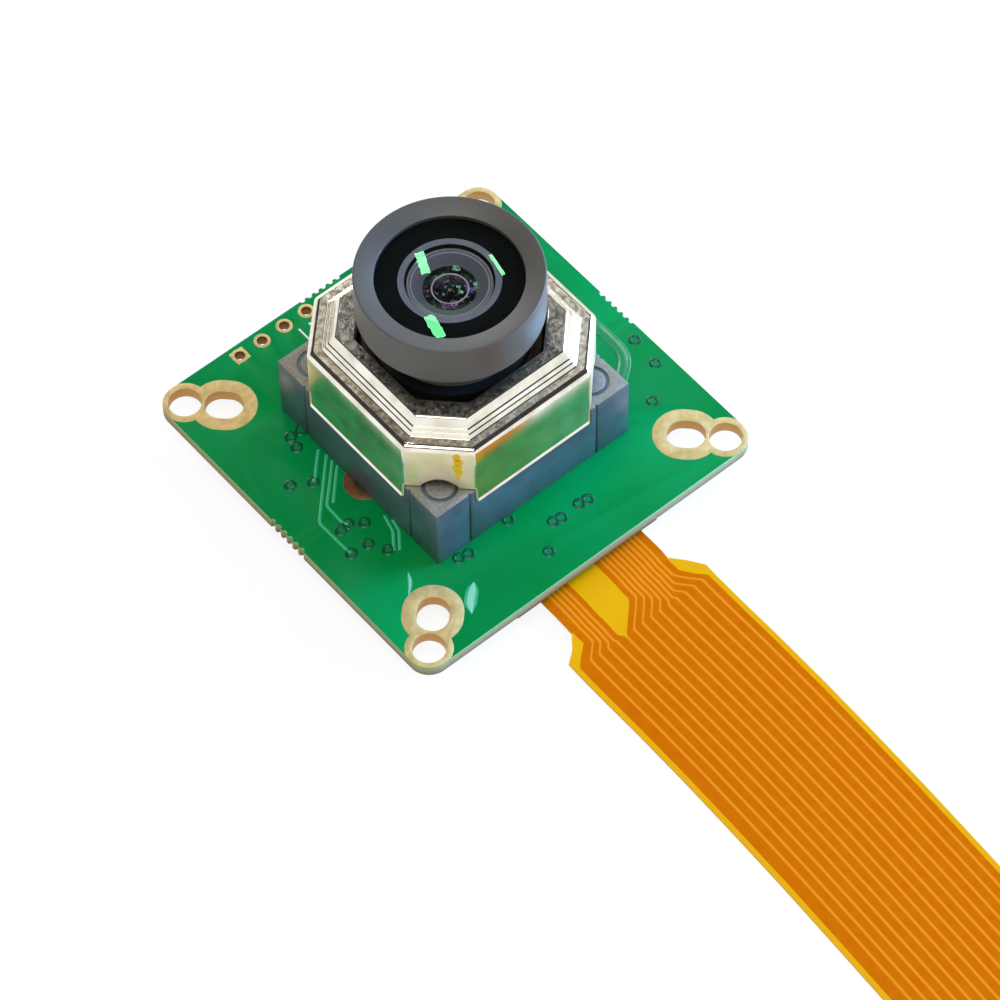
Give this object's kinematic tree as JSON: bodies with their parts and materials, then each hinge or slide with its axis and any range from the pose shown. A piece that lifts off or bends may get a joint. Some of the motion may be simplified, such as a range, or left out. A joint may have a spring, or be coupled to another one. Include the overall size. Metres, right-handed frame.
{
  "type": "camera module",
  "caption": "Autofocus camera module: a lens in an octagonal metal-canned voice-coil actuator on a small square circuit board, with a flat flex cable.",
  "frame": {"origin": "centre of the four corner holes, on the rear face of the board", "axes": "+Z along the optical axis towards the scene; the cable leaves along -Y; the row of header holes is at +Y"},
  "size_m": [0.038, 0.184, 0.0249],
  "materials": {
    "solder_mask": "glossy green mask over glass-epoxy laminate",
    "gold_plating": "thin matt gold over copper",
    "sensor_ceramic": "fired ceramic",
    "silicon": "polished silicon",
    "clear_glass": "polished",
    "filter_glass": "coated",
    "moulded_polymer": "fine moulded",
    "nickel_sheet": "bright nickel on drawn steel",
    "magnet": "nickel plated",
    "spring_copper": "etched copper alloy",
    "carrier_polymer": "fine moulded",
    "copper_wire": "enamelled",
    "black_anodised": "satin black anodised",
    "lens_glass": "coated",
    "black_polymer": "matt",
    "connector_polymer": "moulded",
    "latch_polymer": "moulded",
    "gold_contact": "gold flash",
    "tin_plating": "tin plated",
    "polyimide_film": "glossy film over copper traces",
    "stiffener_film": "laminated",
    "ferrite": "sintered",
    "chip_epoxy": "moulded",
    "lid_metal": "gold-tinted lid on ceramic",
    "capacitor_ceramic": "fired ceramic"
  },
  "bodies": {
    "board": {"circuit_board": "solder_mask", "corner_lands": "gold_plating", "header_lands": "gold_plating", "holder_lands": "gold_plating", "sensor_package": "sensor_ceramic", "sensor_die": "silicon", "sensor_cover_glass": "clear_glass", "infrared_filter": "filter_glass", "actuator_base": "moulded_polymer", "actuator_can": "nickel_sheet", "yoke_magnets": "magnet", "spring_spacer": "moulded_polymer", "lower_spring": "spring_copper", "upper_spring": "spring_copper", "coil_terminals": "gold_contact", "connector_housing": "connector_polymer", "connector_contacts": "gold_contact", "connector_anchors": "tin_plating", "flex_cable": "polyimide_film", "near_stiffener": "polyimide_film", "near_contacts": "gold_contact", "far_stiffener": "stiffener_film", "far_contacts": "gold_contact", "power_inductors": "ferrite", "voltage_regulators": "chip_epoxy", "regulator_leads": "tin_plating", "clock_oscillator": "lid_metal", "actuator_driver": "chip_epoxy", "memory_chip": "chip_epoxy", "capacitor_bodies": "capacitor_ceramic", "capacitor_ends": "tin_plating", "resistor_bodies": "chip_epoxy", "resistor_ends": "tin_plating"},
    "lens": {"lens_carrier": "carrier_polymer", "focus_coil": "copper_wire", "lens_barrel": "black_anodised", "front_element": "lens_glass", "second_element": "lens_glass", "third_element": "lens_glass", "fourth_element": "lens_glass", "rear_element": "lens_glass", "front_spacer": "black_polymer", "rear_spacer": "black_polymer", "retaining_ring": "black_anodised"},
    "latch": {"connector_latch": "latch_polymer"}
  },
  "joints": [
    {"name": "focus_slide", "type": "slide", "parent": "board", "child": "lens", "axis": [0, 0, 1], "range_m": [0, 0.0004], "stiffness_N_per_m": 150, "springref_m": -0.0007, "deforming": ["lower_spring", "upper_spring"]},
    {"name": "latch_slide", "type": "slide", "parent": "board", "child": "latch", "axis": [0, -1, 0], "range_m": [0, 0.001]}
  ]
}
